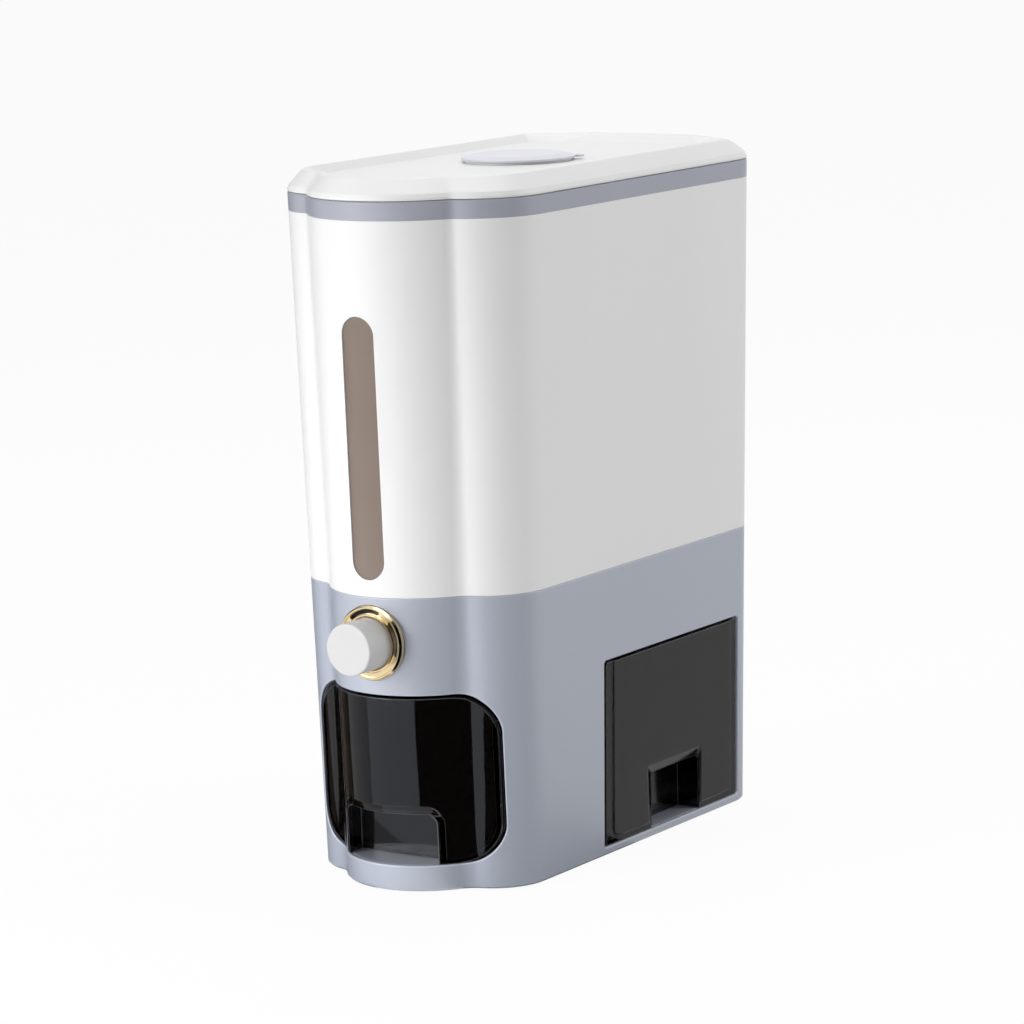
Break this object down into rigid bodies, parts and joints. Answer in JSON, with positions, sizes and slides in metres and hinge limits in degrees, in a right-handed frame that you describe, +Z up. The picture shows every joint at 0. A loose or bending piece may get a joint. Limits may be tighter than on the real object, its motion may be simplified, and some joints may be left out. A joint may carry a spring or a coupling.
{
  "type": "rice dispenser with drawer",
  "caption": "Tall counter-top grain dispenser: drafted two-part housing, push button with dosing shutter, smoked catch cup, side drawer and lift-off lid.",
  "frame": {"origin": "centre of the bottom of the assembly's box, on the surface that it stands on", "axes": "+Z up, -Y towards the side with the push button and the catch cup, +X to the right seen from the front, where the side drawer comes out"},
  "size_m": [0.17, 0.347, 0.4198],
  "materials": {
    "base_plastic": "satin blue-grey moulding",
    "liner_plastic": "plain grey moulding",
    "white_plastic": "satin white moulding",
    "window_smoked": "smoked clear plastic",
    "cup_smoked": "smoked clear plastic, polished",
    "drawer_smoked": "smoked clear plastic, satin",
    "bezel_brass": "polished",
    "stem_steel": "ground rod",
    "spring_steel": "bright wire",
    "screw_steel": "zinc plated",
    "foot_rubber": "matt",
    "seal_rubber": "soft, translucent white",
    "basket_plastic": "plain",
    "cap_plastic": "satin pale lavender grey"
  },
  "bodies": {
    "housing": {"base_housing": "base_plastic", "bottom_plate": "base_plastic", "rubber_feet": "foot_rubber", "base_screws": "screw_steel", "cup_bay_liner": "base_plastic", "drawer_bay_liner": "liner_plastic", "mechanism_deck": "liner_plastic", "outlet_chute": "white_plastic", "shutter_rails": "liner_plastic", "button_guide": "white_plastic", "button_bezel": "bezel_brass", "hopper_shell": "white_plastic", "level_window": "window_smoked", "hopper_funnel": "white_plastic", "trim_band": "base_plastic", "return_spring": "spring_steel"},
    "button": {"button_cap": "white_plastic", "button_stem": "stem_steel", "stem_clip": "spring_steel", "dosing_shutter": "white_plastic"},
    "cup": {"catch_cup": "cup_smoked"},
    "drawer": {"side_drawer": "drawer_smoked"},
    "lid": {"lid": "white_plastic", "lid_seal": "seal_rubber", "desiccant_basket": "basket_plastic"},
    "cap": {"desiccant_cap": "cap_plastic"}
  },
  "joints": [
    {"name": "button_press", "type": "slide", "parent": "housing", "child": "button", "axis": [0, 1, 0], "range_m": [0, 0.013], "stiffness_N_per_m": 220, "springref_m": -0.008, "deforming": ["return_spring"]},
    {"name": "cup_slide", "type": "slide", "parent": "housing", "child": "cup", "axis": [0, -1, 0], "range_m": [0, 0.11]},
    {"name": "drawer_slide", "type": "slide", "parent": "housing", "child": "drawer", "axis": [1, 0, 0], "range_m": [0, 0.12]},
    {"name": "lid_lift", "type": "slide", "parent": "housing", "child": "lid", "axis": [0, 0, 1], "range_m": [0, 0.12]},
    {"name": "cap_lift", "type": "slide", "parent": "lid", "child": "cap", "axis": [0, 0, 1], "range_m": [0, 0.045]}
  ]
}
